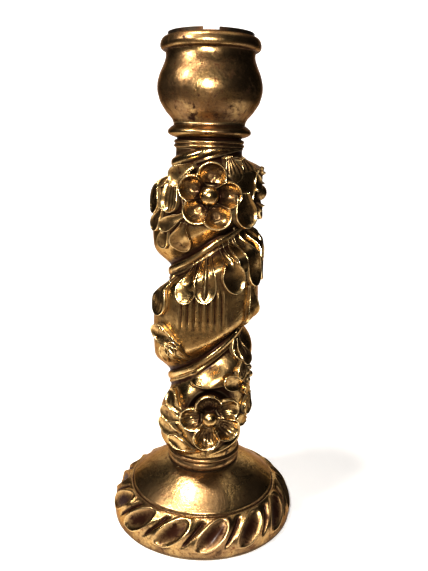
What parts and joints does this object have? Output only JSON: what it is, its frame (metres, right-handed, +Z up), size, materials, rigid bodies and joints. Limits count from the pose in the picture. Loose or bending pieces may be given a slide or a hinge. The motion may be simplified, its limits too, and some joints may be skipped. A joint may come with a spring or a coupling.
{
  "type": "candlestick",
  "caption": "Gilded twisted-column candlestick with carved flowers and leaves, a gadrooned foot and a loose candle liner.",
  "frame": {"origin": "on the table under the middle of the round foot", "axes": "+Z up along the column, -Y towards the front of the upper flower, +X to its right"},
  "size_m": [0.1576, 0.1576, 0.4],
  "materials": {
    "gilt_wood": "burnished gold leaf over dark red bole, rubbed and patinated",
    "liner_metal": "blackened sheet metal",
    "iron": "plain iron"
  },
  "bodies": {
    "candlestick": {"base_plinth": "gilt_wood", "base_screw": "iron", "base_washer": "iron", "bud_lower_front": "gilt_wood", "bud_lower_rear": "gilt_wood", "bud_upper_front": "gilt_wood", "bud_upper_rear": "gilt_wood", "bud_upper_right": "gilt_wood", "column": "gilt_wood", "crown_leaf_left": "gilt_wood", "crown_leaf_right": "gilt_wood", "cup": "gilt_wood", "curled_leaf_left": "gilt_wood", "curled_leaf_right": "gilt_wood", "fan_leaf_1": "gilt_wood", "fan_leaf_2": "gilt_wood", "fan_leaf_3": "gilt_wood", "fan_leaf_4": "gilt_wood", "fan_leaf_5": "gilt_wood", "fan_leaf_6": "gilt_wood", "fan_leaf_7": "gilt_wood", "flower_lower_front": "gilt_wood", "flower_lower_rear": "gilt_wood", "flower_upper_front": "gilt_wood", "flower_upper_rear": "gilt_wood", "flower_upper_right": "gilt_wood", "foot_leaf_lower": "gilt_wood", "foot_leaf_middle": "gilt_wood", "foot_leaf_outer": "gilt_wood", "foot_leaf_upper": "gilt_wood", "lower_collar": "gilt_wood", "neck_collar": "gilt_wood", "rear_leaf_lower": "gilt_wood", "rear_leaf_middle": "gilt_wood", "rear_leaf_upper": "gilt_wood", "shard_leaf_lower": "gilt_wood", "shard_leaf_upper": "gilt_wood", "side_leaf_lower": "gilt_wood", "side_leaf_outer": "gilt_wood", "side_leaf_upper": "gilt_wood", "tapered_leaf_right": "gilt_wood", "vine_leaf_left": "gilt_wood", "vine_leaf_right": "gilt_wood"},
    "liner": {"candle_liner": "liner_metal"}
  },
  "joints": [
    {"name": "liner_lift", "type": "slide", "parent": "candlestick", "child": "liner", "axis": [0, 0, 1], "range_m": [0, 0.045]}
  ]
}
